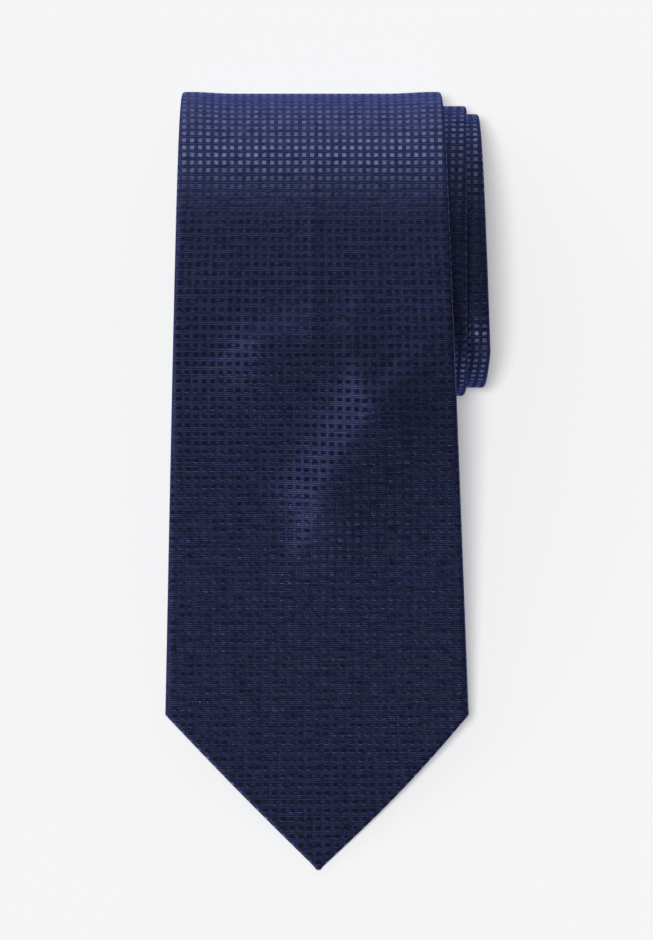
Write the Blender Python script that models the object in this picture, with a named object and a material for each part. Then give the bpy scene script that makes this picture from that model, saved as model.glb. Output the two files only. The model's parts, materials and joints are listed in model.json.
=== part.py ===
"""A necktie as it is laid out for sale: rolled up flat from its narrow end, with the front blade
brought over the roll and laid down on top of it.

The tie is built the way it is sewn. Every piece is first made flat: X runs across the tie, Y along it
from the point of the front blade, and Z through it, with the face side up. Then every piece is rolled
up along one path, so that the pieces keep their places in each other. Units are metres, +Z is up, and
the roll rests on Z = 0.
"""

import math

import bmesh
import bpy
import numpy as np

# The finished tie, laid flat.
TIE_LENGTH = 1.450
BLADE_WIDTH = 0.085
BLADE_POINT = 0.0453
NECK_WIDTH = 0.035
TAIL_WIDTH = 0.042
NECK_START = 0.812
NECK_END = 1.150
THICKNESS = 0.0015

# The layers inside it.
SHELL_WALL = 0.00025
GAP = 0.0003
INTERLINING_TOP = 0.00025
INTERLINING_BOTTOM = -0.00005
TIPPING_TOP = -0.0002
TIPPING_BOTTOM = -0.00035
INTERLINING_INSET = 0.0008

# The back: the folded edges meet along a slit, and part above each pointed end.
SLIT = 0.0008
HEM = 0.012
BLADE_WINDOW_WIDTH = 0.056
BLADE_WINDOW_TOP = 0.105
TAIL_WINDOW_WIDTH = 0.022
TAIL_WINDOW_TOP = 0.090
BLADE_TIPPING_LENGTH = 0.135
TAIL_TIPPING_LENGTH = 0.105

# Diagonal seams that join the blade, the neck piece and the tail.
BLADE_SEAM = 0.760
TAIL_SEAM = 1.130
SEAM_GAP = 0.0009
THREAD = 0.0003

# What is sewn on the back of the blade.
LABEL_AT = 0.138
LABEL_SIZE = (0.048, 0.014)
LABEL_THICKNESS = 0.0003
KEEPER_AT = 0.1525
KEEPER_SIZE = (0.050, 0.010)
KEEPER_WALL = 0.0003
KEEPER_PASSAGE = 0.0004
KEEPER_FOOT = 0.003
CARE_TAG_AT = 0.119
CARE_TAG_SIZE = (0.010, 0.014)
BAR_TACK_SIZE = (0.0060, 0.0016)
TAIL_TACK_SIZE = (0.0016, 0.0016)
TAIL_TACK_BELOW = 0.008

# The roll, seen from the side: flat below, domed above.
HALF_LENGTH = 0.1091
ROLL_SOUTH = 0.0232
ROLL_HEIGHT = 0.042
DOME_LENGTH = 0.038
FOOT_RADIUS = 0.008
FIRST_PITCH = 0.0028
PITCH = 0.0018
NORTH_SLACK = 0.25
TURNS = 9
FACETS = 8
BEND = math.pi / FACETS

# The front blade runs down from the top of the roll to the surface at its point.
RAMP_TOP = 0.062
RAMP_FACETS = 9
RAMP_END_SLOPE = 0.6

# Sideways drift of the tie's middle line: distance along the tie, then place across.
DRIFT = (
    (0.000, -0.0021),
    (0.240, -0.0042),
    (0.390, 0.0077),
    (0.440, 0.0092),
    (0.550, 0.0193),
    (0.620, 0.0186),
)

# The blade opens on three creases. Two are in the fold over the end of the roll, given by the
# direction that the face points there, and one is on top of the roll, given by its place along Y.
LOWER_CREASE = -22.5
UPPER_CREASE = 45.0
FLAP_CREASE = 0.046

BEYOND = 0.010


# ---------------------------------------------------------------- the rolled path


def half_width(along):
    """Half the width of the finished tie at a distance from the point of its front blade."""
    places = (0, BLADE_POINT, NECK_START, NECK_END, TIE_LENGTH - TAIL_WIDTH / 2, TIE_LENGTH)
    widths = (0, BLADE_WIDTH / 2, NECK_WIDTH / 2, NECK_WIDTH / 2, TAIL_WIDTH / 2, 0)
    return float(np.interp(along, places, widths))


def roll_support(angle):
    """How far the side view of the roll reaches in a direction, from the frame's origin."""
    y, z = math.cos(angle), math.sin(angle)
    end, inward = (HALF_LENGTH, -1) if y >= 0 else (ROLL_SOUTH, 1)
    if z >= 0:
        centre = end + inward * DOME_LENGTH
        reach = math.hypot(DOME_LENGTH * y, (ROLL_HEIGHT - FOOT_RADIUS) * z)
    else:
        centre = end + inward * FOOT_RADIUS
        reach = FOOT_RADIUS
    return centre * y + FOOT_RADIUS * z + reach


def clipped(polygon, direction, limit):
    """The part of a convex polygon that reaches no further than limit in a direction."""
    kept = []
    for start, end in zip(np.roll(polygon, 1, axis=0), polygon):
        before, after = start @ direction - limit, end @ direction - limit
        if (before > 0) != (after > 0):
            kept.append(start + (end - start) * before / (before - after))
        if after <= 0:
            kept.append(end)
    return np.array(kept)


def roll_core(depth):
    """The side view of the roll, shrunk by depth on every side and by a little more to the north."""
    far = 10 * ROLL_HEIGHT
    core = np.array([(-far, -far), (far, -far), (far, far), (-far, far)])
    for step in range(2 * FACETS):
        angle = step * BEND
        direction = np.array([math.cos(angle), math.sin(angle)])
        slack = NORTH_SLACK * max(direction[0], 0) * max(depth - THICKNESS / 2 - PITCH, 0)
        core = clipped(core, direction, roll_support(angle) - depth - slack)
    return core


def bend_points(first_angle, depth, deeper):
    """Half a turn of the middle of the cloth: each corner between two facets, as (y, z, lift y, lift z).

    The lift is the step outward that keeps both facets the same distance away.
    """
    points = []
    for step in range(FACETS):
        angle = first_angle - (step + 0.5) * BEND
        lift = np.array([math.cos(angle), math.sin(angle)]) / math.cos(BEND / 2)
        core = roll_core(depth + deeper * step / (FACETS - 1) + THICKNESS / 2 + PITCH)
        corner = core[np.argmax(core @ lift)] + PITCH * lift
        points.append((*corner, *lift))
    return points


def ramp_points():
    """The middle of the front blade, from its point up to the top of the roll."""
    rise = ROLL_HEIGHT - THICKNESS
    run = RAMP_TOP + HALF_LENGTH
    points = []
    for step in range(RAMP_FACETS + 1):
        u = step / RAMP_FACETS
        height = RAMP_END_SLOPE * (u**3 - 2 * u**2 + u) + 3 * u**2 - 2 * u**3
        steepness = RAMP_END_SLOPE * (3 * u**2 - 4 * u + 1) + 6 * u - 6 * u**2
        slope = math.atan(steepness * rise / run)
        place = (run * u - HALF_LENGTH, THICKNESS / 2 + rise * height)
        points.append((*place, -math.sin(slope), math.cos(slope)))
    return points


def rolled_path():
    """The middle of the cloth from end to end: columns along, y, z, lift y and lift z."""
    points = ramp_points()
    depth = 0.0
    for turn in range(TURNS):
        deeper = PITCH if turn else FIRST_PITCH
        points += bend_points(math.pi / 2, depth, 0.0)
        points += bend_points(-math.pi / 2, depth, deeper)
        depth += deeper
    points = np.array(points)
    steps = np.linalg.norm(np.diff(points[:, :2], axis=0), axis=1)
    along = np.concatenate([[0.0], np.cumsum(steps)])
    return np.column_stack([along, points])


PATH = rolled_path()
FIRST_BEND = RAMP_FACETS + 1


def at_angle(degrees):
    """Distance along the tie to the middle of the facet that faces this many degrees above north."""
    facet = FIRST_BEND + round((90 - degrees) * FACETS / 180)
    return (PATH[facet - 1, 0] + PATH[facet, 0]) / 2


def at_ramp(y):
    """Distance along the tie to a place on top of the roll, on the front blade."""
    return float(np.interp(y, PATH[:FIRST_BEND, 1], PATH[:FIRST_BEND, 0]))


def rolled(x, along, lift):
    """Where a point of the flat tie comes to lie once the tie is rolled up."""
    y, z, face_y, face_z = (np.interp(along, PATH[:, 0], PATH[:, k]) for k in (1, 2, 3, 4))
    drift = np.interp(along, *zip(*DRIFT))
    return x + drift, y + lift * face_y, z + lift * face_z


# ---------------------------------------------------------------- flat pieces


def link(obj, collection):
    bpy.data.collections[collection].objects.link(obj)
    return obj


def plate(name, outline, low, high, collection="flat_blanks"):
    """A flat outline, given as (across, along) points, made solid between two heights."""
    curve = bpy.data.curves.new(name, "CURVE")
    curve.dimensions = "2D"
    curve.fill_mode = "BOTH"
    curve.extrude = (high - low) / 2
    spline = curve.splines.new("POLY")
    spline.points.add(len(outline) - 1)
    for point, (x, y) in zip(spline.points, outline):
        point.co = (x, y, 0, 1)
    spline.use_cyclic_u = True
    drawn = link(bpy.data.objects.new(name + "_outline", curve), "flat_blanks")
    bpy.context.view_layer.update()
    graph = bpy.context.evaluated_depsgraph_get()
    mesh = bpy.data.meshes.new_from_object(drawn.evaluated_get(graph))
    mesh.name = name
    bpy.data.objects.remove(drawn)
    bm = bmesh.new()
    bm.from_mesh(mesh)
    bmesh.ops.remove_doubles(bm, verts=bm.verts, dist=1e-6)
    bmesh.ops.dissolve_limit(bm, angle_limit=0.001, verts=bm.verts, edges=bm.edges)
    bmesh.ops.translate(bm, vec=(0, 0, (high + low) / 2), verts=bm.verts)
    bmesh.ops.recalc_face_normals(bm, faces=bm.faces)
    bm.to_mesh(mesh)
    bm.free()
    return link(bpy.data.objects.new(name, mesh), collection)


def cut_out(blank, cutter):
    """Takes the cutter out of the blank and leaves the cutter as a hidden guide."""
    modifier = blank.modifiers.new("cut", "BOOLEAN")
    modifier.operation = "DIFFERENCE"
    modifier.object = cutter
    bpy.context.view_layer.update()
    graph = bpy.context.evaluated_depsgraph_get()
    mesh = bpy.data.meshes.new_from_object(blank.evaluated_get(graph))
    blank.modifiers.clear()
    blank.data = mesh
    as_guide(cutter)


def as_guide(obj):
    obj.hide_render = True
    obj.display_type = "WIRE"


def tie_outline(inset, start=0.0, end=TIE_LENGTH):
    """The outline of the flat tie, moved in by an inset, between two distances along it."""
    corner_inset = inset * math.sqrt(2)
    corners = [corner_inset, BLADE_POINT, NECK_START, NECK_END]
    corners += [TIE_LENGTH - TAIL_WIDTH / 2, TIE_LENGTH - corner_inset]
    places = [start, end] + [place for place in corners if start < place < end]
    right = []
    for place in sorted(places):
        pointed = place < BLADE_POINT or place > TIE_LENGTH - TAIL_WIDTH / 2
        width = half_width(place) - (corner_inset if pointed else inset)
        right.append((max(width, 0.0), place))
    right = [point for point in right if corner_inset <= point[1] <= TIE_LENGTH - corner_inset]
    left = [(-x, y) for x, y in reversed(right) if x > 0]
    return right + left


def back_opening():
    """The opening in the back: a kite above each point, and the slit that joins them."""
    slit = SLIT / 2
    low = HEM * math.sqrt(2)
    blade, tail = BLADE_WINDOW_WIDTH / 2, TAIL_WINDOW_WIDTH / 2
    tail_low = TIE_LENGTH - low * TAIL_WINDOW_WIDTH / TAIL_WIDTH
    right = [
        (0, low),
        (blade, low + blade),
        (slit, BLADE_WINDOW_TOP),
        (slit, TIE_LENGTH - TAIL_WINDOW_TOP),
        (tail, tail_low - tail),
        (0, tail_low),
    ]
    return right + [(-x, y) for x, y in reversed(right[1:-1])]


def flat_shell():
    """The silk of the whole tie, folded round to the back, before it is cut at its seams."""
    top = THICKNESS / 2
    inside = top - SHELL_WALL
    shell = plate("whole_shell", tie_outline(0), -top, top)
    cut_out(shell, plate("shell_hollow", tie_outline(SHELL_WALL), -inside, inside))
    cut_out(shell, plate("shell_back", back_opening(), -2 * top, 0))
    return shell


def flat_interlining():
    return plate("whole_interlining", tie_outline(INTERLINING_INSET), INTERLINING_BOTTOM, INTERLINING_TOP)


def flat_thread():
    """The slip stitch that draws the two folded edges together, from tack to tack."""
    half = THREAD / 2
    start = BLADE_WINDOW_TOP + BAR_TACK_SIZE[1]
    end = TIE_LENGTH - TAIL_WINDOW_TOP - BAR_TACK_SIZE[1]
    outline = [(-half, start), (half, start), (half, end), (-half, end)]
    return plate("whole_slip_stitch", outline, -THICKNESS / 2, -THICKNESS / 2 + SHELL_WALL)


# ---------------------------------------------------------------- cutting and rolling up


def sliced(bm, point, normal, keep_below):
    """Cuts the mesh at a plane, drops one side of it and closes the cut."""
    geometry = list(bm.verts) + list(bm.edges) + list(bm.faces)
    cut = bmesh.ops.bisect_plane(
        bm,
        geom=geometry,
        plane_co=point,
        plane_no=normal,
        clear_outer=keep_below,
        clear_inner=not keep_below,
    )
    edges = [item for item in cut["geom_cut"] if isinstance(item, bmesh.types.BMEdge)]
    bmesh.ops.holes_fill(bm, edges=edges)


def roll_up(name, blank, material, start=None, end=None):
    """A copy of a flat blank between two cuts, rolled up and put in place.

    A cut is (distance along the tie, gap, slant), where a slant of 1 is a diagonal seam.
    """
    bm = bmesh.new()
    bm.from_mesh(blank.data)
    for cut, side in ((start, 1), (end, -1)):
        if cut:
            place, gap, slant = cut
            normal = np.array([slant, 1.0, 0.0]) / math.hypot(slant, 1)
            point = np.array([0.0, place, 0.0]) + side * normal * gap / 2
            sliced(bm, point, normal, keep_below=side < 0)
    for along in PATH[:, 0]:
        geometry = list(bm.verts) + list(bm.edges) + list(bm.faces)
        bmesh.ops.bisect_plane(bm, geom=geometry, plane_co=(0, along, 0), plane_no=(0, 1, 0))
    bmesh.ops.recalc_face_normals(bm, faces=bm.faces)
    bmesh.ops.triangulate(bm, faces=bm.faces)
    for vert in bm.verts:
        vert.co = rolled(*vert.co)
    mesh = bpy.data.meshes.new(name)
    bm.to_mesh(mesh)
    bm.free()
    mesh.materials.append(material)
    mesh.shade_smooth()
    mesh.set_sharp_from_angle(angle=math.radians(40))
    return link(bpy.data.objects.new(name, mesh), "necktie")


def hang_on(obj, pivot):
    """Gives a moving piece its crease as its parent, and leaves it where it is."""
    obj.parent = pivot
    obj.matrix_parent_inverse = pivot.matrix_world.inverted()


# ---------------------------------------------------------------- materials


def cloth(name, colour, roughness, metallic=0.0):
    material = bpy.data.materials.new(name)
    material.use_nodes = True
    shader = material.node_tree.nodes["Principled BSDF"]
    shader.inputs["Base Color"].default_value = (*colour, 1.0)
    shader.inputs["Roughness"].default_value = roughness
    shader.inputs["Metallic"].default_value = metallic
    material.diffuse_color = (*colour, 1.0)
    return material


def navy_silk():
    return cloth("woven_silk", (0.018, 0.022, 0.062), 0.55)


def wool_felt():
    return cloth("interlining", (0.62, 0.60, 0.55), 0.95)


def navy_satin():
    return cloth("lining_satin", (0.010, 0.012, 0.034), 0.35)


def black_taffeta():
    return cloth("woven_label", (0.012, 0.012, 0.016), 0.5)


def white_satin():
    return cloth("care_tag", (0.72, 0.72, 0.70), 0.45)


def sewing_thread():
    return cloth("sewing_thread", (0.022, 0.028, 0.080), 0.7)


# ---------------------------------------------------------------- the pieces


def creases():
    """An empty on each crease, each the parent of the next, for the moving pieces to hang on."""
    parent = None
    pivots = []
    places = (("lower_crease", at_angle(LOWER_CREASE)), ("upper_crease", at_angle(UPPER_CREASE)))
    for name, along in (*places, ("flap_crease", at_ramp(FLAP_CREASE))):
        pivot = link(bpy.data.objects.new(name, None), "necktie")
        _, y, z = rolled(0.0, along, THICKNESS / 2)
        pivot.location = (0.0, y, z)
        bpy.context.view_layer.update()
        if parent:
            hang_on(pivot, parent)
            bpy.context.view_layer.update()
        pivots.append(pivot)
        parent = pivot
    return pivots


def crease_cuts():
    lower = (at_angle(LOWER_CREASE), GAP, 0)
    upper = (at_angle(UPPER_CREASE), GAP, 0)
    flap = (at_ramp(FLAP_CREASE), GAP, 0)
    return lower, upper, flap


def make_long_pieces(prefix, blank, material, pivots, last_cut=None):
    """A piece that runs through the whole fold: one length on each moving body, and the roll."""
    lower, upper, flap = crease_cuts()
    spans = (
        ("point", None, flap, 2),
        ("top", flap, upper, 1),
        ("fold", upper, lower, 0),
        ("roll", lower, last_cut, None),
    )
    for ending, start, end, pivot in spans:
        piece = roll_up(f"{prefix}_{ending}", blank, material, start, end)
        if pivot is not None:
            hang_on(piece, pivots[pivot])


def make_shell(pivots, silk):
    blank = flat_shell()
    blade_seam = (BLADE_SEAM, SEAM_GAP, 1)
    tail_seam = (TAIL_SEAM, SEAM_GAP, -1)
    make_long_pieces("blade_shell", blank, silk, pivots, blade_seam)
    roll_up("neck_shell", blank, silk, blade_seam, tail_seam)
    roll_up("tail_shell", blank, silk, tail_seam)
    as_guide(blank)


def make_interlining(pivots, felt):
    blank = flat_interlining()
    make_long_pieces("interlining", blank, felt, pivots)
    as_guide(blank)


def make_slip_stitch(pivots, thread):
    blank = flat_thread()
    make_long_pieces("slip_stitch", blank, thread, pivots)
    as_guide(blank)


def make_tippings(pivots, satin):
    """The lining behind each point, which shows in the kite that the folded edges leave."""
    inset = SHELL_WALL + GAP
    blade = tie_outline(inset, 0, BLADE_TIPPING_LENGTH)
    tail = tie_outline(inset, TIE_LENGTH - TAIL_TIPPING_LENGTH)
    for name, outline in (("blade_tipping", blade), ("tail_tipping", tail)):
        blank = plate(name + "_flat", outline, TIPPING_BOTTOM, TIPPING_TOP)
        piece = roll_up(name, blank, satin)
        if name == "blade_tipping":
            hang_on(piece, pivots[2])
        as_guide(blank)


def rectangle(width, length, along):
    x, y = width / 2, length / 2
    return [(-x, along - y), (x, along - y), (x, along + y), (-x, along + y)]


def make_flat_trim(name, size, along, top, thickness, material, pivot=None):
    """A small flat piece sewn to the back, its upper side at a height through the tie."""
    blank = plate(name + "_flat", rectangle(*size, along), top - thickness, top)
    piece = roll_up(name, blank, material)
    if pivot:
        hang_on(piece, pivot)
    as_guide(blank)


def make_keeper_loop(pivot, silk):
    """The band that the narrow end is pushed through, sewn down at both ends."""
    top = -THICKNESS / 2 - GAP
    bottom = top - KEEPER_PASSAGE - KEEPER_WALL
    width, length = KEEPER_SIZE
    blank = plate("keeper_loop_flat", rectangle(width, length, KEEPER_AT), bottom, top)
    hollow = rectangle(width - 2 * KEEPER_FOOT, length + BEYOND, KEEPER_AT)
    cut_out(blank, plate("keeper_passage", hollow, bottom + KEEPER_WALL, top + BEYOND))
    hang_on(roll_up("keeper_loop", blank, silk), pivot)
    as_guide(blank)


def make_bar_tacks(pivot, thread):
    """The dense stitch that locks the back where its two edges part.

    The one on the blade lies across them. The one on the tail lies between them, as the roll is tight.
    """
    along = BLADE_WINDOW_TOP + BAR_TACK_SIZE[1]
    top = -THICKNESS / 2 - GAP
    make_flat_trim("bar_tack_blade", BAR_TACK_SIZE, along, top, SHELL_WALL, thread, pivot)
    along = TIE_LENGTH - TAIL_WINDOW_TOP + TAIL_TACK_BELOW
    top = -THICKNESS / 2 + SHELL_WALL
    make_flat_trim("bar_tack_tail", TAIL_TACK_SIZE, along, top, SHELL_WALL, thread)


def make_seam_threads(thread):
    """The machine stitch along each diagonal seam of the shell, on its face side."""
    top = THICKNESS / 2
    for name, seam, lean in (("blade_seam_thread", BLADE_SEAM, -1), ("tail_seam_thread", TAIL_SEAM, 1)):
        reach = half_width(seam) - SHELL_WALL
        half = THREAD / math.sqrt(2)
        low, high = seam - lean * reach, seam + lean * reach
        outline = [(-reach, low - half), (reach, high - half), (reach, high + half), (-reach, low + half)]
        blank = plate(name + "_flat", outline, top - SHELL_WALL, top)
        roll_up(name, blank, thread)
        as_guide(blank)


def main():
    for obj in list(bpy.data.objects):
        bpy.data.objects.remove(obj)
    for name in ("necktie", "flat_blanks"):
        collection = bpy.data.collections.new(name)
        bpy.context.scene.collection.children.link(collection)

    pivots = creases()
    silk, thread = navy_silk(), sewing_thread()
    make_shell(pivots, silk)
    make_interlining(pivots, wool_felt())
    make_slip_stitch(pivots, thread)
    make_tippings(pivots, navy_satin())
    make_keeper_loop(pivots[2], silk)
    make_bar_tacks(pivots[2], thread)
    make_seam_threads(thread)
    back = -THICKNESS / 2 - GAP
    make_flat_trim("woven_label", LABEL_SIZE, LABEL_AT, back, LABEL_THICKNESS, black_taffeta(), pivots[2])
    make_flat_trim("care_tag", CARE_TAG_SIZE, CARE_TAG_AT, back, LABEL_THICKNESS, white_satin(), pivots[2])


main()
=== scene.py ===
"""The looks of a rolled necktie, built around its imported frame.

Every piece of cloth is made flat first: x runs across the tie, along runs from the point of its front
blade, and lift goes through it, with the face side up. Then it is rolled up along the same path as the
frame's solids, on a much finer mesh. All sizes are in metres.
"""

import json
import math

import bpy
import numpy as np
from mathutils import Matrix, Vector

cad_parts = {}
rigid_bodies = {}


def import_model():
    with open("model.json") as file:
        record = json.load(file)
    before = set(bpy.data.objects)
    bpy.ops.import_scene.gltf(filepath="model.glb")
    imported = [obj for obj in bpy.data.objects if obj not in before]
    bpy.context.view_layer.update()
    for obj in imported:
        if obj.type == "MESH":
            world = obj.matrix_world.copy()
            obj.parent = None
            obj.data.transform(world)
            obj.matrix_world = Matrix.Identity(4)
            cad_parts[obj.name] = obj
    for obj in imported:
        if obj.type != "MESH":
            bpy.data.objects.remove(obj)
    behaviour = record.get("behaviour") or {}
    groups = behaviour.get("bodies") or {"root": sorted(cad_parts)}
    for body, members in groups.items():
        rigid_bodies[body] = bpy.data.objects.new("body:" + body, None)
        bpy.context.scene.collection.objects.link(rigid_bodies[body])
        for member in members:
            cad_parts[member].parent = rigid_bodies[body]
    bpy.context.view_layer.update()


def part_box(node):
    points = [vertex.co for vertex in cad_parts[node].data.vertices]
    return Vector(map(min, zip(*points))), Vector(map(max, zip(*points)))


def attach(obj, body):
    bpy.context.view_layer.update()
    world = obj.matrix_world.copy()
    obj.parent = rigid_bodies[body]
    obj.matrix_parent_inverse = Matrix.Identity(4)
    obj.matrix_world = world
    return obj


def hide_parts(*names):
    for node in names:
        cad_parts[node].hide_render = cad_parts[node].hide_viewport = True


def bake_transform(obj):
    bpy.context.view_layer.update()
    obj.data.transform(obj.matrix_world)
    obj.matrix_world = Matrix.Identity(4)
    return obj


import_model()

# The finished tie, laid flat.
TIE_LENGTH = 1.450
BLADE_WIDTH = 0.085
BLADE_POINT = 0.0453
NECK_WIDTH = 0.035
TAIL_WIDTH = 0.042
NECK_START = 0.812
NECK_END = 1.150
THICKNESS = 0.0015
SILK = 0.00025
SLIT = 0.0008
HEM = 0.012
BLADE_WINDOW_WIDTH = 0.056
BLADE_WINDOW_TOP = 0.105
TAIL_WINDOW_WIDTH = 0.022
TAIL_WINDOW_TOP = 0.090
BLUNT = 0.0006

# The roll, seen from the side: its ends and height are the frame's. The outline that the spiral follows
# has its south end half the first pitch further out, because the spiral has closed in that far there.
FIRST_PITCH = 0.0028
PITCH = 0.0018
HALF_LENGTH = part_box("blade_shell_fold")[1].y
ROLL_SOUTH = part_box("blade_shell_roll")[0].y - FIRST_PITCH / 2
ROLL_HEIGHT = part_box("blade_shell_top")[1].z
DOME_LENGTH = 0.038
FOOT_RADIUS = 0.008
NORTH_SLACK = 0.25
TURNS = 9
FACETS = 64
BEND = math.pi / FACETS
RAMP_TOP = 0.062
RAMP_FACETS = 120
RAMP_END_SLOPE = 0.6

# Sideways drift of the tie's middle line: distance along the tie, then place across.
DRIFT = (
    (0.000, -0.0021),
    (0.240, -0.0040),
    (0.345, 0.0069),
    (0.390, 0.0079),
    (0.440, 0.0094),
    (0.550, 0.0198),
    (0.620, 0.0194),
)

# How far the two slanted edges of the point curve outward: right, then left.
POINT_BULGE = (0.0018, 0.0007)

# Soft folds of the blade: start x, y, end x, y, width and height of each. Each falls away more gently
# on its left, seen from its start. All fade out where the blade goes over the end of the roll.
FOLDS = (
    (0.0130, 0.020, 0.0000, -0.002, 0.0085, 0.0019),
    (-0.005, 0.0400, -0.0170, 0.0370, 0.0070, 0.0016),
    (0.008, 0.044, 0.010, 0.026, 0.0045, 0.0005),
    (0.024, 0.040, 0.016, 0.030, 0.0095, 0.0006),
)
GENTLE_SIDE = 0.8
FOLDS_FADE = (0.200, 0.215)

# The seam behind the blade's middle: width and height of its ridge, and where along Y it begins to show.
SEAM_RIDGE = (0.0014, 0.00018)
SEAM_SHOWS = (0.03, 0.05)

# The folded edges of the blade swell where it goes over the end of the roll: how much, how far out from
# the middle (as a share of the half width), and where along the tie this begins and ends.
EDGE_SWELL = 0.0005
SWELL_OUT = (0.60, 0.93)
SWELL_BEGINS = (0.200, 0.220)
SWELL_ENDS = (0.238, 0.250)

# One repeat of the weave: across the tie and along it. It is a little finer beyond the blade.
CELL = (0.00235, 0.0025)
SQUEEZE = 0.06
SQUEEZE_FROM = (0.150, 0.200)

# What is inside the tie: inset from its edges, and how high its upper and its lower side lie.
INTERLINING = (0.0010, 0.00040, -0.00034)
TIPPING = (0.0006, -0.00037, -0.00046)
BLADE_TIPPING_LENGTH = 0.135
TAIL_TIPPING_LENGTH = 0.105

# What is sewn on its back.
LABEL_AT = 0.138
LABEL_SIZE = (0.048, 0.014)
KEEPER_AT = 0.1525
KEEPER_SIZE = (0.050, 0.010)
KEEPER_FOOT = 0.003
KEEPER_STANDS_OUT = 0.0006
CARE_TAG_AT = 0.119
CARE_TAG_SIZE = (0.010, 0.014)
CARE_TAG_CURL = 0.0010
CARE_TAG_SEWN_FROM = 0.123
TRIM_GAP = 0.00004
BACK = -THICKNESS / 2 - TRIM_GAP
RIBBON = 0.00022
BLADE_SEAM = 0.760
TAIL_SEAM = 1.130
THREAD_RADIUS = 0.00009
BAR_TACK = (0.0060, 0.0016)
TAIL_TACK = (0.0016, 0.0016)
TAIL_TACK_AT = TIE_LENGTH - TAIL_WINDOW_TOP + 0.008

# Stitches: how far apart they start, how far each reaches along, its gap to the next, and how far it
# stands out of the cloth. A slip stitch also reaches across the slit.
SLIP_EVERY = 0.006
SLIP_REACH = 0.0016
SLIP_ACROSS = 0.0009
SLIP_HUMP = 0.00016
TACK_HUMP = 0.00022
TACK_SPACING = 2.2 * THREAD_RADIUS
MACHINE_EVERY = 0.0018
MACHINE_GAP = 0.0002
MACHINE_HUMP = 0.00014
THREAD_SIDES = 6

# The camera looks straight down, and the table glows a little.
CAMERA_HEIGHT = 2.5
CAMERA_OVER = (0.0002, 0.0036)
VIEW_WIDTH = 0.18366
TABLE_GLOW = 0.305
FLOOR_GAP = 0.0003

# The studio: a wall that glows to the north-west (how far a direction turns to it: where the glow starts
# and is full, and how bright it is there), and softboxes: place, strength, spread, and the pieces that
# each is kept off or, where it says INCLUDE, lights alone.
BRIGHT_SIDE = (-0.45, 0.89, 0.0)
WALL = (0.05, 0.90, 0.052, 0.45)
LIGHTS = (
    ("table_softbox", (-0.12, 0.06, 1.0), 1.86, 17, "INCLUDE", ("floor",)),
    ("upper_left_softbox", (-0.80, 1.00, 0.36), 0.14, 48, "EXCLUDE", ("floor",)),
    ("blade_softbox", (-0.80, 1.00, 0.36), 0.38, 48, "EXCLUDE", ("floor", "silk_roll")),
    ("north_softbox", (-0.04, 1.00, 0.54), 0.29, 36, "EXCLUDE", ("floor", "silk_roll")),
    ("lower_left_softbox", (-0.36, -1.00, 0.50), 0.54, 12, "EXCLUDE", ("floor",)),
)


# Mesh sizes: the widest and the closest spacing of points for each cloth.
SILK_MESH = (0.0012, 0.0004)
ROLL_MESH = (0.0024, 0.0008)
WOOL_MESH = (0.006, 0.0010)
SATIN_MESH = (0.003, 0.0008)
TRIM_MESH = 0.001
TRIM_ROWS = 15
EDGE_COLUMNS = 6
BACK_COARSER = 0.8
SHARP_EDGE = math.radians(50)

# Near the tips the tie narrows to less than its own thickness: how much of its half width a folded edge
# may then round off, the back may cover, and how much of that rounding the cloth's wall may take.
ROUND_SHARE = 0.8
BACK_SHARE = 0.98
WALL_SHARE = 0.4


# ---------------------------------------------------------------- the rolled path


def half_width(along):
    """Half the width of the finished tie at a distance from the point of its front blade."""
    tail = TAIL_WIDTH / 2
    places = (0, BLADE_POINT, NECK_START, NECK_END, TIE_LENGTH - tail, TIE_LENGTH)
    widths = (0, BLADE_WIDTH / 2, NECK_WIDTH / 2, NECK_WIDTH / 2, tail, 0)
    return np.maximum(np.interp(along, places, widths), BLUNT)


def roll_support(angle):
    """How far the side view of the roll reaches in a direction, from the frame's origin."""
    y, z = math.cos(angle), math.sin(angle)
    end, inward = (HALF_LENGTH, -1) if y >= 0 else (ROLL_SOUTH, 1)
    if z >= 0:
        centre = end + inward * DOME_LENGTH
        reach = math.hypot(DOME_LENGTH * y, (ROLL_HEIGHT - FOOT_RADIUS) * z)
    else:
        centre = end + inward * FOOT_RADIUS
        reach = FOOT_RADIUS
    return centre * y + FOOT_RADIUS * z + reach


def clipped(polygon, direction, limit):
    """The part of a convex polygon that reaches no further than limit in a direction."""
    kept = []
    for start, end in zip(np.roll(polygon, 1, axis=0), polygon):
        before, after = start @ direction - limit, end @ direction - limit
        if (before > 0) != (after > 0):
            kept.append(start + (end - start) * before / (before - after))
        if after <= 0:
            kept.append(end)
    return np.array(kept)


def roll_core(depth):
    """The side view of the roll, shrunk by depth on every side and by a little more to the north."""
    far = 10 * ROLL_HEIGHT
    core = np.array([(-far, -far), (far, -far), (far, far), (-far, far)])
    for step in range(2 * FACETS):
        angle = step * BEND
        direction = np.array([math.cos(angle), math.sin(angle)])
        slack = NORTH_SLACK * max(direction[0], 0) * max(depth - THICKNESS / 2 - PITCH, 0)
        core = clipped(core, direction, roll_support(angle) - depth - slack)
    return core


def bend_points(first_angle, start_core, end_core):
    """Half a turn of the middle of the cloth, as (y, z, lift y, lift z), easing from one core to the next."""
    points = []
    for step in range(FACETS):
        angle = first_angle - (step + 0.5) * BEND
        lift = np.array([math.cos(angle), math.sin(angle)]) / math.cos(BEND / 2)
        corners = [core[np.argmax(core @ lift)] for core in (start_core, end_core)]
        share = step / (FACETS - 1)
        corner = corners[0] * (1 - share) + corners[1] * share + PITCH * lift
        points.append((*corner, *lift))
    return points


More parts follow.
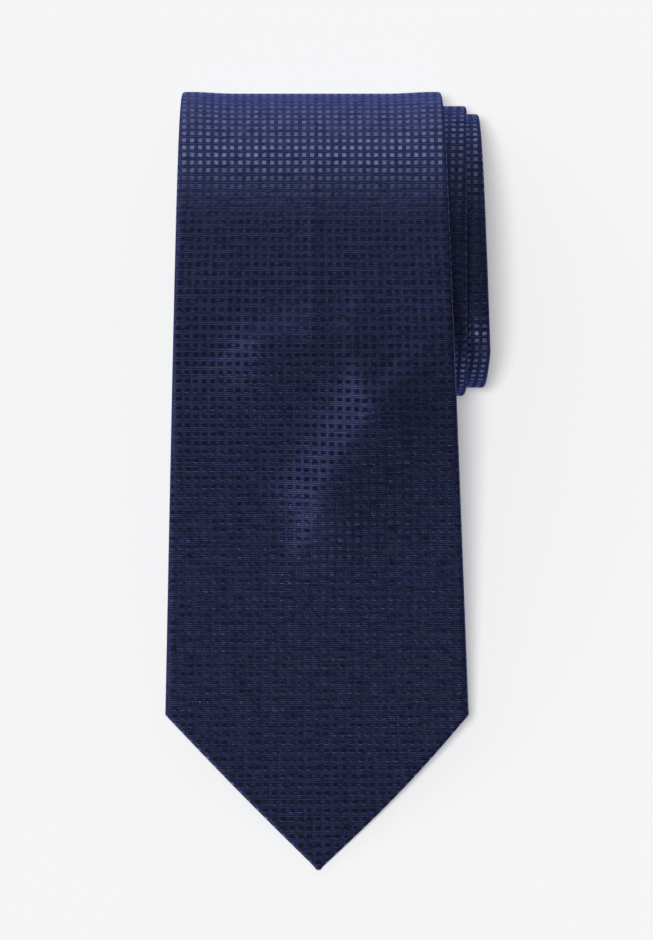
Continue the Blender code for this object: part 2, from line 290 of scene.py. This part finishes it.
def ramp_points():
    """The middle of the front blade, from its point up to the top of the roll."""
    rise = ROLL_HEIGHT - THICKNESS
    run = RAMP_TOP + HALF_LENGTH
    u = np.arange(RAMP_FACETS + 1) / RAMP_FACETS
    height = RAMP_END_SLOPE * (u**3 - 2 * u**2 + u) + 3 * u**2 - 2 * u**3
    steepness = RAMP_END_SLOPE * (3 * u**2 - 4 * u + 1) + 6 * u - 6 * u**2
    slope = np.arctan(steepness * rise / run)
    middle = run * u - HALF_LENGTH, THICKNESS / 2 + rise * height
    return np.column_stack([*middle, -np.sin(slope), np.cos(slope)])


def rolled_path():
    """The middle of the cloth from end to end: columns along, y, z, lift y and lift z."""
    points = [tuple(point) for point in ramp_points()]
    inset = THICKNESS / 2 + PITCH
    depth = 0.0
    core = roll_core(inset)
    for turn in range(TURNS):
        depth += PITCH if turn else FIRST_PITCH
        deeper_core = roll_core(depth + inset)
        points += bend_points(math.pi / 2, core, core)
        points += bend_points(-math.pi / 2, core, deeper_core)
        core = deeper_core
    points = np.array(points)
    steps = np.linalg.norm(np.diff(points[:, :2], axis=0), axis=1)
    along = np.concatenate([[0.0], np.cumsum(steps)])
    return np.column_stack([along, points])


PATH = rolled_path()


def on_path(along):
    """The middle of the cloth in the side view, and which way its face is: y, z, lift y and lift z."""
    return [np.interp(along, PATH[:, 0], PATH[:, column]) for column in (1, 2, 3, 4)]


def rolled(x, along, lift):
    """Where a point of the flat tie comes to lie once the tie is rolled up."""
    y, z, face_y, face_z = on_path(along)
    drift = np.interp(along, *zip(*DRIFT))
    lift = lift + relief(x + drift, y, along)
    bulge = np.where(x > 0, *POINT_BULGE) * np.sin(math.pi * np.minimum(along / BLADE_POINT, 1))
    x = x + bulge * x / half_width(along)
    return np.stack([x + drift, y + lift * face_y, z + lift * face_z], axis=-1)


def facing(degrees):
    """Distance along the tie to where the first fold's face points this many degrees above north."""
    fold = slice(RAMP_FACETS + 1, RAMP_FACETS + 1 + FACETS)
    angles = np.degrees(np.arctan2(PATH[fold, 4], PATH[fold, 3]))
    return float(np.interp(-degrees, -angles, PATH[fold, 0]))


def on_blade(y):
    """Distance along the tie to a place on the front blade, by where it lies along Y."""
    return float(np.interp(y, PATH[: RAMP_FACETS + 1, 1], PATH[: RAMP_FACETS + 1, 0]))


# ---------------------------------------------------------------- how the blade drapes

def ease(value, start, end):
    """Rises smoothly from 0 at start to 1 at end."""
    t = np.clip((value - start) / (end - start), 0, 1)
    return t * t * (3 - 2 * t)


def relief(x, y, along):
    """How far the blade's soft folds and the seam behind it lift its cloth off the smooth roll."""
    lift = np.zeros(np.broadcast(x, y).shape)
    for x0, y0, x1, y1, width, height in FOLDS:
        run = np.array([x1 - x0, y1 - y0])
        share = np.clip(((x - x0) * run[0] + (y - y0) * run[1]) / (run @ run), 0, 1)
        off = np.hypot(x - x0 - share * run[0], y - y0 - share * run[1])
        left = (run[0] * (y - y0) - run[1] * (x - x0)) / np.hypot(*run)
        spread = width * (1 + GENTLE_SIDE * ease(left, -width / 2, width / 2))
        lift = lift + height * np.exp(-((off / spread) ** 2))
    width, height = SEAM_RIDGE
    off_middle = x - np.interp(along, *zip(*DRIFT))
    lift = lift + height * np.exp(-((off_middle / width) ** 2)) * ease(y, *SEAM_SHOWS)
    lift = lift * (1 - ease(along, *FOLDS_FADE))
    out = np.abs(off_middle) / half_width(along)
    swell = EDGE_SWELL * ease(out, *SWELL_OUT) * ease(along, *SWELL_BEGINS) * (1 - ease(along, *SWELL_ENDS))
    return lift + swell


# ---------------------------------------------------------------- meshes


def stations(start, end, finest, coarsest, keep=()):
    """Places along the tie for a mesh's rows: the path's own, neither too close nor too far apart."""
    fixed = [start, *sorted(place for place in keep if start < place < end), end]
    rows = [start]
    for low, high in zip(fixed, fixed[1:]):
        inner = PATH[(PATH[:, 0] > low + finest / 2) & (PATH[:, 0] < high - finest / 2), 0]
        for place in (*inner, high):
            gap = place - rows[-1]
            if gap < finest and place != high:
                continue
            count = max(1, math.ceil(gap / coarsest))
            rows += [rows[-1] + gap * step / count for step in range(1, count)]
            rows.append(place)
    return np.array(rows)


def in_repeats(places):
    """Places on the cloth, counted in repeats of its weave."""
    across, along = places[..., 0], places[..., 1]
    finer = 1 + SQUEEZE * ease(along, *SQUEEZE_FROM)
    further = SQUEEZE * np.maximum(along - sum(SQUEEZE_FROM) / 2, 0)
    return np.stack([across * finer / CELL[0], (along + further) / CELL[1]], axis=-1)


def as_object(name, mesh, material):
    """A mesh made into an object of the scene."""
    mesh.materials.append(material)
    mesh.shade_smooth()
    obj = bpy.data.objects.new(name, mesh)
    bpy.context.scene.collection.objects.link(obj)
    return obj


def solid(name, outer, inner, places, material):
    """A closed sheet of cloth between two grids of points, with the weave's place on it as its UV map."""
    rows, columns = outer.shape[:2]
    index = np.arange(rows * columns).reshape(rows, columns)
    under = index + rows * columns

    def quads(a, b, c, d):
        return np.stack([a.ravel(), b.ravel(), c.ravel(), d.ravel()], axis=1)

    faces = [
        quads(index[:-1, :-1], index[:-1, 1:], index[1:, 1:], index[1:, :-1]),
        quads(under[:-1, :-1], under[1:, :-1], under[1:, 1:], under[:-1, 1:]),
    ]
    for edge, back, turned in ((index[0], under[0], 1), (index[-1], under[-1], -1)):
        faces.append(quads(edge[:-1], back[:-1], back[1:], edge[1:])[:, ::turned])
    for edge, back, turned in ((index[:, 0], under[:, 0], -1), (index[:, -1], under[:, -1], 1)):
        faces.append(quads(edge[:-1], back[:-1], back[1:], edge[1:])[:, ::turned])
    faces = np.concatenate(faces)
    points = np.concatenate([outer.reshape(-1, 3), inner.reshape(-1, 3)])
    flat = np.concatenate([places.reshape(-1, places.shape[-1])] * 2)

    mesh = bpy.data.meshes.new(name)
    mesh.from_pydata(points, [], faces)
    if flat.shape[1] == 4:
        # The last two numbers hold the weave's place past a slanted fold, for the faces of the hem.
        hem = flat[faces, 3].min(axis=1) > -1
        uv = np.where(hem[:, None, None], flat[faces][:, :, 2:], flat[faces][:, :, :2])
    else:
        uv = flat[faces]
    layer = mesh.uv_layers.new(name="cloth")
    layer.data.foreach_set("uv", in_repeats(uv).astype(np.float32).ravel())
    obj = as_object(name, mesh, material)
    mesh.set_sharp_from_angle(angle=SHARP_EDGE)
    return obj


def back_edge(along):
    """How far from the middle the folded edge of the back lies: the mitre, the kites and the slit."""
    slit = SLIT / 2
    low = HEM * math.sqrt(2)
    blade, tail = BLADE_WINDOW_WIDTH / 2, TAIL_WINDOW_WIDTH / 2
    tail_low = TIE_LENGTH - low * TAIL_WINDOW_WIDTH / TAIL_WIDTH
    places = (low, low + blade, BLADE_WINDOW_TOP, TIE_LENGTH - TAIL_WINDOW_TOP, tail_low - tail, tail_low)
    return np.interp(along, places, (0, blade, slit, slit, tail, 0))


def shell_surface(along, columns, wall):
    """One side of the silk, from one folded edge of the back round the face to the other."""
    half = half_width(along)[:, None]
    pointed = (along[:, None] < BLADE_POINT) | (along[:, None] > TIE_LENGTH - TAIL_WIDTH / 2)
    radius = np.minimum(THICKNESS / 2 * np.where(pointed, math.sqrt(2), 1.0), half * ROUND_SHARE)
    flat_half = half - radius
    face_count, turn_count, back_count = columns
    face = np.linspace(0, 1, face_count + 1)[None, :-1] * flat_half
    turn = np.linspace(0, math.pi, turn_count + 1)[None, :-1]
    inset = np.minimum(wall, radius * WALL_SHARE)
    turn_x = flat_half + (radius - inset) * np.sin(turn)
    turn_z = (THICKNESS / 2 - wall) * np.cos(turn) + 0 * half
    edge = np.minimum(back_edge(along)[:, None], flat_half * BACK_SHARE)
    share = np.linspace(0, 1, back_count + 1)[None, :]
    back = flat_half * (1 - share) + edge * share
    level = 0 * half + THICKNESS / 2 - wall
    x = np.concatenate([face, turn_x, back], axis=1)
    z = np.concatenate([level + 0 * face, turn_z, -level + 0 * back], axis=1)
    across = np.concatenate(
        [face, flat_half + THICKNESS / 2 * turn, 2 * flat_half + math.pi * THICKNESS / 2 - back], axis=1
    )
    past = np.concatenate([0 * face - 1, 0 * turn_x - 1, back], axis=1)
    return x, z, across, past


def mirrored(values, sign):
    """A half's columns and their mirror image, with the middle column once."""
    return np.concatenate([sign * values[:, :0:-1], values], axis=1)


def shell(name, start, end, material, mesh_size):
    """The silk of the tie between two places along it."""
    spacing, finest = mesh_size
    low = HEM * math.sqrt(2)
    keep = (low, BLADE_POINT, low + BLADE_WINDOW_WIDTH / 2, BLADE_WINDOW_TOP)
    along = stations(start, end, finest, spacing, keep)
    widest = half_width(along).max()
    columns = (round(widest / spacing), EDGE_COLUMNS, round(widest / spacing * BACK_COARSER))
    surfaces = []
    for wall in (0.0, SILK):
        x, z, across, past = shell_surface(along, columns, wall)
        x, z = mirrored(x, -1), mirrored(z, 1)
        surfaces.append(rolled(x, along[:, None] + 0 * x, z))
    from_point = np.minimum(along, TIE_LENGTH - along)[:, None]
    pointed = from_point < np.where(along[:, None] < TIE_LENGTH / 2, BLADE_POINT, TAIL_WIDTH / 2)
    past = np.where(pointed, past, -1.0)
    ahead = mirrored(from_point + 0 * across, -1)
    places = np.stack([mirrored(across, -1), along[:, None] + 0 * x, ahead, mirrored(past, 1)], axis=-1)
    return solid(name, surfaces[0], surfaces[1], places, material)


# ---------------------------------------------------------------- materials


class Graph:
    """Short ways to wire a material's nodes."""

    def __init__(self, name, **values):
        self.material = bpy.data.materials.new(name)
        self.material.use_nodes = True
        self.tree = self.material.node_tree
        self.shader = self.tree.nodes["Principled BSDF"]
        for socket, value in values.items():
            self.set(socket.replace("_", " "), value)

    def feed(self, socket, value):
        if isinstance(value, bpy.types.NodeSocket):
            self.tree.links.new(value, socket)
        elif hasattr(value, "__len__") and len(value) == 3 and socket.type == "RGBA":
            socket.default_value = (*value, 1.0)
        else:
            socket.default_value = value

    def set(self, name, value):
        self.feed(self.shader.inputs[name], value)

    def node(self, kind, settings=(), **sockets):
        node = self.tree.nodes.new("ShaderNode" + kind)
        for key, value in dict(settings).items():
            setattr(node, key, value)
        for name, value in sockets.items():
            self.feed(node.inputs[name.replace("_", " ")], value)
        return node

    def math(self, operation, *values):
        node = self.tree.nodes.new("ShaderNodeMath")
        node.operation = operation
        for socket, value in zip(node.inputs, values):
            self.feed(socket, value)
        return node.outputs[0]

    def fade(self, value, start, end, low=0.0, high=1.0):
        """Goes smoothly from low at start to high at end."""
        node = self.node("MapRange", {"interpolation_type": "SMOOTHSTEP"}, Value=value)
        for name, number in zip(("From Min", "From Max", "To Min", "To Max"), (start, end, low, high)):
            self.feed(node.inputs[name], number)
        return node.outputs["Result"]

    def mix(self, factor, first, second):
        node = self.tree.nodes.new("ShaderNodeMix")
        node.data_type = "RGBA"
        for socket, value in zip((node.inputs[0], node.inputs[6], node.inputs[7]), (factor, first, second)):
            self.feed(socket, value)
        return node.outputs[2]

    def wave(self, value, count):
        """A sine with so many waves to a repeat of the weave."""
        return self.math("SINE", self.math("MULTIPLY", value, 2 * math.pi * count))

    def follow_cloth(self):
        """Makes the anisotropic sheen run with the threads."""
        self.set("Tangent", self.node("Tangent", {"direction_type": "UV_MAP", "uv_map": "cloth"}).outputs[0])

    def place(self):
        """The place on the cloth, counted in repeats of the weave: across, along, and both."""
        uv = self.node("UVMap", {"uv_map": "cloth"}).outputs[0]
        split = self.node("SeparateXYZ", Vector=uv)
        return split.outputs[0], split.outputs[1], uv

    def stretched(self, u, across, v, along):
        """A place on the cloth with its two directions scaled apart, for noise that runs in threads."""
        scaled = [self.math("MULTIPLY", *pair) for pair in ((u, across), (v, along))]
        return self.node("CombineXYZ", X=scaled[0], Y=scaled[1]).outputs[0]

    def noise(self, vector, scale, detail=2.0):
        return self.node("TexNoise", Vector=vector, Scale=scale, Detail=detail).outputs["Fac"]

    def bump(self, height, distance, strength=1.0):
        node = self.node("Bump", Height=height, Distance=distance, Strength=strength)
        self.set("Normal", node.outputs[0])


def woven_silk():
    """Navy silk with a raised dot in every repeat, of threads that float along the tie.

    The silk's gloss takes its dye's colour, so it is shaded as a dark coloured metal. A thread shines
    along its length only, so the dots and the ground between them flash on different slopes.
    """
    g = Graph("woven_silk", Metallic=0.95, Anisotropic=0.9, Specular_Tint=(0.3, 0.35, 0.7))
    u, v, uv = g.place()
    a = g.math("MULTIPLY", g.math("PINGPONG", u, 0.5), 2.0)
    b = g.math("MULTIPLY", g.math("PINGPONG", v, 0.5), 2.0)
    reach = g.math("POWER", g.math("ADD", g.math("POWER", a, 4.0), g.math("POWER", b, 4.0)), 0.25)
    reach = g.math("ADD", reach, g.math("MULTIPLY", g.math("SUBTRACT", g.noise(uv, 3.5), 0.5), 0.35))
    dot = g.fade(reach, 0.64, 0.46)
    # Painted shade: a ring round each raised dot, where the gap is darkened as if shade fell into it.
    gap_shade = g.fade(reach, 0.90, 0.66)
    picks = g.fade(g.wave(v, 4), 0.0, 0.9)
    ends = g.fade(g.wave(u, 4), 0.1, 0.9)
    weft = g.math("MULTIPLY", picks, g.fade(g.noise(g.stretched(u, 0.5, v, 3.0), 1.0), 0.30, 0.60))
    warp = g.math("MULTIPLY", ends, g.fade(g.noise(g.stretched(u, 3.0, v, 0.5), 1.0), 0.40, 0.70))
    lines = g.math("MAXIMUM", weft, g.math("MULTIPLY", warp, 0.7))

    cell = g.node("CombineXYZ", X=g.math("ROUND", u), Y=g.math("ROUND", v)).outputs[0]
    shade = g.node("TexWhiteNoise", {"noise_dimensions": "2D"}, Vector=cell).outputs["Value"]
    raised = g.mix(shade, (0.100, 0.118, 0.255), (0.145, 0.168, 0.335))
    ground = g.mix(g.noise(uv, 0.35, 3.0), (0.046, 0.057, 0.168), (0.062, 0.075, 0.215))
    # Painted shade: the ground is darkened in the ring round each dot.
    ground = g.mix(g.math("MULTIPLY", gap_shade, 0.35), ground, (0.014, 0.019, 0.065))
    g.set("Base Color", g.mix(dot, g.mix(lines, ground, (0.180, 0.205, 0.480)), raised))
    g.set("Roughness", g.fade(dot, 0.0, 1.0, 0.62, 0.34))
    g.follow_cloth()
    g.set("Anisotropic Rotation", g.fade(dot, 0.4, 0.6, 0.25, 0.0))

    floats = g.math("MULTIPLY", dot, g.wave(u, 7))
    raised_dot = g.math("ADD", dot, g.math("MULTIPLY", floats, 0.05))
    g.bump(g.math("ADD", raised_dot, g.math("MULTIPLY", lines, 0.35)), 0.00005)
    return g.material


def lining_satin():
    """Plain navy satin with a fine twill line."""
    g = Graph("lining_satin", Metallic=0.85, Anisotropic=0.7, Specular_Tint=(0.35, 0.38, 0.60))
    u, v, uv = g.place()
    twill = g.wave(g.math("ADD", u, v), 4)
    patches = g.noise(uv, 0.6, 3.0)
    colour = g.mix(patches, (0.040, 0.044, 0.110), (0.060, 0.066, 0.150))
    g.set("Base Color", g.mix(g.fade(twill, 0.2, 0.9), colour, (0.085, 0.092, 0.200)))
    g.set("Roughness", g.fade(g.noise(uv, 2.0), 0.3, 0.7, 0.34, 0.44))
    g.follow_cloth()
    g.bump(twill, 0.00002)
    return g.material


def wool_felt():
    """The brushed wool that gives the tie its body, dark so that it doesn't show through the slit."""
    g = Graph("interlining", Roughness=0.95, Sheen_Weight=0.3)
    _, v, uv = g.place()
    fibres = g.noise(uv, 9.0, 6.0)
    ribs = g.wave(v, 3)
    g.set("Base Color", g.mix(fibres, (0.018, 0.020, 0.030), (0.060, 0.064, 0.085)))
    g.bump(g.math("ADD", fibres, g.math("MULTIPLY", ribs, 0.3)), 0.0002)
    return g.material


def ribbed(name, dark, light, border, size, along, roughness):
    """A woven ribbon with fine ribs and a plain line near its edge; along says where its middle lies."""
    g = Graph(name, Sheen_Weight=0.2, Anisotropic=0.5)
    u, v, uv = g.place()
    half_across, half_along = (side / 2 / cell for side, cell in zip(size, CELL))
    side = g.math("SUBTRACT", half_across, g.math("ABSOLUTE", u))
    end = g.math("SUBTRACT", half_along, g.math("ABSOLUTE", g.math("SUBTRACT", v, along / CELL[1])))
    edge = g.math("MINIMUM", side, end)
    line = g.math("MULTIPLY", g.fade(edge, 0.30, 0.36), g.fade(edge, 0.62, 0.56))
    ribs = g.wave(v, 7)
    threads = g.wave(u, 9)
    weave = g.math("ADD", ribs, g.math("MULTIPLY", threads, 0.5))
    colour = g.mix(g.fade(weave, -1.2, 1.2), dark, light)
    g.set("Base Color", g.mix(line, colour, border))
    g.set("Roughness", g.fade(g.noise(uv, 3.0), 0.3, 0.7, roughness - 0.06, roughness + 0.06))
    g.bump(g.math("ADD", weave, g.math("MULTIPLY", line, 1.5)), 0.00003)
    return g.material


def sewing_thread():
    """Navy thread of two strands twisted together."""
    g = Graph("sewing_thread", Sheen_Weight=0.4, Sheen_Tint=(0.5, 0.55, 1.0))
    u, v, uv = g.place()
    twist = g.wave(g.math("ADD", g.math("MULTIPLY", v, 5.0), u), 1)
    strand = g.fade(twist, -0.6, 0.8)
    g.set("Base Color", g.mix(strand, (0.010, 0.012, 0.045), (0.034, 0.040, 0.120)))
    g.set("Roughness", g.fade(g.noise(uv, 8.0), 0.3, 0.7, 0.50, 0.70))
    g.bump(strand, 0.00004)
    return g.material


# ---------------------------------------------------------------- the set


def studio():
    """The table, which glows a little, the wall and the softboxes round it, and the camera above it."""
    bpy.ops.mesh.primitive_plane_add(size=8)
    floor = bpy.context.object
    floor.name = "floor"
    floor.location.z = -FLOOR_GAP
    g = Graph("floor", Roughness=0.9, Specular_IOR_Level=0.1)
    place = g.node("TexCoord").outputs["Object"]
    g.set("Base Color", g.mix(g.noise(place, 3.0), (0.845, 0.845, 0.845), (0.855, 0.855, 0.855)))
    g.set("Emission Color", (1.0, 1.0, 1.0))
    g.set("Emission Strength", TABLE_GLOW)
    floor.data.materials.append(g.material)

    world = bpy.data.worlds.new("studio")
    bpy.context.scene.world = world
    world.use_nodes = True
    tree = world.node_tree
    direction = tree.nodes.new("ShaderNodeTexCoord").outputs["Generated"]
    toward = tree.nodes.new("ShaderNodeVectorMath")
    toward.operation = "DOT_PRODUCT"
    toward.inputs[1].default_value = BRIGHT_SIDE
    tree.links.new(direction, toward.inputs[0])
    wall = tree.nodes.new("ShaderNodeMapRange")
    wall.interpolation_type = "SMOOTHSTEP"
    tree.links.new(toward.outputs["Value"], wall.inputs["Value"])
    for name, number in zip(("From Min", "From Max", "To Min", "To Max"), WALL):
        wall.inputs[name].default_value = number
    tree.links.new(wall.outputs["Result"], tree.nodes["Background"].inputs["Strength"])
    tree.nodes["Background"].inputs["Color"].default_value = (1, 1, 1, 1)

    for name, place, strength, spread, link, linked in LIGHTS:
        light = bpy.data.lights.new(name, "SUN")
        light.energy = strength
        light.angle = math.radians(spread)
        obj = bpy.data.objects.new(name, light)
        obj.location = place
        obj.rotation_euler = (-obj.location.normalized()).to_track_quat("-Z", "Y").to_euler()
        bpy.context.scene.collection.objects.link(obj)
        group = bpy.data.collections.new(f"{name}_receivers")
        for index, piece in enumerate(linked):
            group.objects.link(bpy.data.objects[piece])
            group.collection_objects[index].light_linking.link_state = link
        obj.light_linking.receiver_collection = group

    camera = bpy.data.cameras.new("camera")
    camera.sensor_fit = "HORIZONTAL"
    camera.sensor_width = 36
    camera.lens = camera.sensor_width * CAMERA_HEIGHT / VIEW_WIDTH
    view = bpy.data.objects.new("camera", camera)
    view.location = (*CAMERA_OVER, CAMERA_HEIGHT)
    bpy.context.scene.collection.objects.link(view)
    bpy.context.scene.camera = view
    bpy.context.scene.view_settings.view_transform = "Standard"


# ---------------------------------------------------------------- inner layers, trim and stitches


def slab(name, along, half, top, bottom, material, spacing):
    """A flat layer of cloth between two heights; each may vary over the piece."""
    columns = max(4, round(2 * np.max(half) / spacing))
    x = np.linspace(-1, 1, columns + 1)[None, :] * np.reshape(half, (-1, 1))
    x = x + 0 * along[:, None]
    row = along[:, None] + 0 * x
    heights = [height(x, row) if callable(height) else height + 0 * x for height in (top, bottom)]
    upper, lower = (rolled(x, row, height) for height in heights)
    return solid(name, upper, lower, np.stack([x, row], axis=-1), material)


def patch(name, size, along, height, material):
    """A small rectangle of ribbon on the back; height gives where its upper side lies."""
    rows = np.linspace(along - size[1] / 2, along + size[1] / 2, TRIM_ROWS)
    top = height if callable(height) else (lambda x, row: height + 0 * x)
    half = np.full(len(rows), size[0] / 2)
    return slab(name, rows, half, top, lambda x, row: top(x, row) - RIBBON, material, TRIM_MESH)


def stitches(name, paths, radius, material):
    """Short lengths of thread, each through its own points of the flat tie, joined in one mesh."""
    count = THREAD_SIDES
    sides = np.linspace(0, 2 * math.pi, count + 1)[:-1]
    points, faces, places = [], [], []
    for path in paths:
        path = np.array(path, float)
        ahead = np.gradient(path, axis=0)
        ahead /= np.linalg.norm(ahead, axis=1)[:, None]
        aside = np.cross(ahead, (0.0, 0.0, 1.0))
        aside /= np.linalg.norm(aside, axis=1)[:, None]
        above = np.cross(aside, ahead)
        ring = np.cos(sides)[None, :, None] * aside[:, None] + np.sin(sides)[None, :, None] * above[:, None]
        first = len(points)
        points += list((path[:, None] + radius * ring).reshape(-1, 3))
        run = np.concatenate([[0], np.cumsum(np.linalg.norm(np.diff(path, axis=0), axis=1))])
        places += [(angle / (2 * math.pi) * CELL[0], length) for length in run for angle in sides]
        for row in range(len(path) - 1):
            for side in range(count):
                a, b = (first + row * count + corner % count for corner in (side, side + 1))
                faces.append((a, b, b + count, a + count))
        faces.append(tuple(range(first + count - 1, first - 1, -1)))
        faces.append(tuple(range(first + count * (len(path) - 1), first + count * len(path))))
    points, places = np.array(points), np.array(places)
    mesh = bpy.data.meshes.new(name)
    mesh.from_pydata(rolled(points[:, 0], points[:, 1], points[:, 2]), [], faces)
    layer = mesh.uv_layers.new(name="cloth")
    corners = np.concatenate([np.array(face) for face in faces])
    layer.data.foreach_set("uv", (places[corners] / CELL).astype(np.float32).ravel())
    return as_object(name, mesh, material)


def stitch(start, end, height, hump):
    """One stitch: it comes out of the cloth at start, humps over, and goes back in at end."""
    share = np.linspace(0, 1, 7)[:, None]
    flat = np.array(start) * (1 - share) + np.array(end) * share
    rise = height + hump * np.sin(math.pi * share)
    return np.concatenate([flat, rise], axis=1)


def slip_stitches(start, end):
    """The slanted stitches that draw the two folded edges of the back together."""
    first, last = BLADE_WINDOW_TOP + 2 * BAR_TACK[1], TIE_LENGTH - TAIL_WINDOW_TOP - 2 * BAR_TACK[1]
    rows = np.arange(first, last, SLIP_EVERY)
    rows = rows[(rows >= start) & (rows + SLIP_REACH < end)]
    height = -THICKNESS / 2 + THREAD_RADIUS
    ends = [((-SLIP_ACROSS, row), (SLIP_ACROSS, row + SLIP_REACH)) for row in rows]
    return [stitch(*pair, height, -SLIP_HUMP) for pair in ends]


def bar_tack(size, along):
    """Close stitches side by side, which lock the end of the slip stitch."""
    width, length = size
    places = np.linspace(-width / 2, width / 2, round(width / TACK_SPACING))
    height = -THICKNESS / 2 + THREAD_RADIUS
    ends = [((x, along - length / 2), (x, along + length / 2)) for x in places]
    return [stitch(*pair, height, -TACK_HUMP) for pair in ends]


def seam_stitches(seam, lean):
    """Machine stitches along a diagonal seam, on the face side."""
    reach = float(half_width(seam)) - THICKNESS
    steps = np.linspace(-reach, reach, round(2 * reach / MACHINE_EVERY) + 1)
    height = THICKNESS / 2 - THREAD_RADIUS
    ends = [((a, seam + lean * a), (b - MACHINE_GAP, seam + lean * b)) for a, b in zip(steps, steps[1:])]
    return [stitch(*pair, height, MACHINE_HUMP) for pair in ends]


# ---------------------------------------------------------------- putting it together


# Where the pieces of cloth meet, as distances along the tie: on the flat top of the roll, halfway down
# the fold's face, and on the flat under the roll.
TIP = 0.0004
FLAT_TOP = on_blade(0.070)
FOLD_FACE = facing(11)
FLAT_BOTTOM = facing(-88) + 0.008
SPANS = (
    ("blade", TIP, FLAT_TOP),
    ("over_fold", FLAT_TOP, FOLD_FACE),
    ("under_fold", FOLD_FACE, FLAT_BOTTOM),
    ("roll", FLAT_BOTTOM, TIE_LENGTH - TIP),
)


def hold(piece, span):
    """Attaches the roll's stretch of the tie to the roll body; the other stretches stay fixed where they were
    built.
    """
    if span == "blade":
        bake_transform(piece)
    elif span == "over_fold":
        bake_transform(piece)
    elif span == "under_fold":
        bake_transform(piece)
    else:
        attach(piece, "roll")
    return piece


def make_shell(silk):
    """The silk. Each stretch was cut to the tie's width twice over, plus what is turned in at the back."""
    stands_for = {
        "blade": ("blade_shell_point", "blade_shell_top"),
        "over_fold": ("blade_shell_fold",),
        "roll": ("blade_shell_roll", "neck_shell", "tail_shell"),
    }
    for span, start, end in SPANS:
        piece = shell(f"silk_{span}", start, end, silk, ROLL_MESH if span == "roll" else SILK_MESH)
        hold(piece, span)
        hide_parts(*stands_for.get(span, ()))


def make_interlining():
    """The wool inside the whole length of the tie."""
    felt = wool_felt()
    inset, top, bottom = INTERLINING
    spacing, finest = WOOL_MESH
    stands_for = {"blade": ("point", "top"), "over_fold": ("fold",), "roll": ("roll",)}
    for span, start, end in SPANS:
        low, high = max(start, 2 * inset), min(end, TIE_LENGTH - 2 * inset)
        rows = stations(low, high, finest, spacing)
        half = np.maximum(half_width(rows) - inset, inset / 2)
        piece = slab(f"wool_{span}", rows, half, top, bottom, felt, spacing)
        hold(piece, span)
        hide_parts(*(f"interlining_{ending}" for ending in stands_for.get(span, ())))


def make_tippings():
    """The satin that lines the two points."""
    satin = lining_satin()
    inset, top, bottom = TIPPING
    spacing, finest = SATIN_MESH
    lengths = (
        ("blade_tipping", "blade", 2 * inset, BLADE_TIPPING_LENGTH),
        ("tail_tipping", "roll", TIE_LENGTH - TAIL_TIPPING_LENGTH, TIE_LENGTH - 2 * inset),
    )
    for node, span, low, high in lengths:
        rows = stations(low, high, finest, spacing)
        half = np.maximum(half_width(rows) - inset, inset / 2)
        piece = slab(f"satin_{node}", rows, half, top, bottom, satin, spacing)
        hold(piece, span)
        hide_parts(node)


def make_trim(silk):
    """The label, the care tag and the keeper loop on the back of the blade."""
    black_and_silver = (0.010, 0.010, 0.014), (0.030, 0.030, 0.038), (0.30, 0.31, 0.36)
    whites = (0.62, 0.62, 0.60), (0.76, 0.76, 0.74), (0.50, 0.50, 0.52)
    label_cloth = ribbed("woven_label", *black_and_silver, LABEL_SIZE, LABEL_AT, 0.5)
    tag_cloth = ribbed("care_tag", *whites, CARE_TAG_SIZE, CARE_TAG_AT, 0.4)
    lowest = CARE_TAG_AT - CARE_TAG_SIZE[1] / 2
    keeper_end = KEEPER_SIZE[0] / 2

    def tag_height(x, row):
        return BACK - CARE_TAG_CURL * (1 - ease(row, lowest, CARE_TAG_SEWN_FROM))

    def keeper_height(x, row):
        sewn_down = ease(np.abs(x), keeper_end - 3 * KEEPER_FOOT, keeper_end - KEEPER_FOOT)
        return BACK - KEEPER_STANDS_OUT * (1 - sewn_down)

    trims = (
        ("label_patch", "woven_label", LABEL_SIZE, LABEL_AT, BACK, label_cloth, "woven_label"),
        ("care_tag_patch", "care_tag", CARE_TAG_SIZE, CARE_TAG_AT, tag_height, tag_cloth, "care_tag"),
        ("keeper_band", "keeper_loop", KEEPER_SIZE, KEEPER_AT, keeper_height, silk, "woven_silk"),
    )
    for name, node, size, along, height, cloth, slot in trims:
        piece = patch(name, size, along, height, cloth)
        hold(piece, "blade")
        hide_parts(node)


def make_stitches():
    """The slip stitches, the bar tacks and the two seams."""
    thread = sewing_thread()
    stands_for = {"blade": ("point", "top"), "over_fold": ("fold",), "roll": ("roll",)}
    groups = []
    for span, start, end in SPANS:
        nodes = [f"slip_stitch_{ending}" for ending in stands_for.get(span, ())]
        groups.append((f"slip_stitches_{span}", span, slip_stitches(start, end), nodes))
    groups += [
        ("tack_blade", "blade", bar_tack(BAR_TACK, BLADE_WINDOW_TOP + BAR_TACK[1]), ["bar_tack_blade"]),
        ("tack_tail", "roll", bar_tack(TAIL_TACK, TAIL_TACK_AT), ["bar_tack_tail"]),
        ("seam_blade", "roll", seam_stitches(BLADE_SEAM, -1), ["blade_seam_thread"]),
        ("seam_tail", "roll", seam_stitches(TAIL_SEAM, 1), ["tail_seam_thread"]),
    ]
    for name, span, paths, nodes in groups:
        piece = hold(stitches(name, paths, THREAD_RADIUS, thread), span)
        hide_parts(*nodes)


silk = woven_silk()
make_shell(silk)
make_interlining()
make_tippings()
make_trim(silk)
make_stitches()
studio()
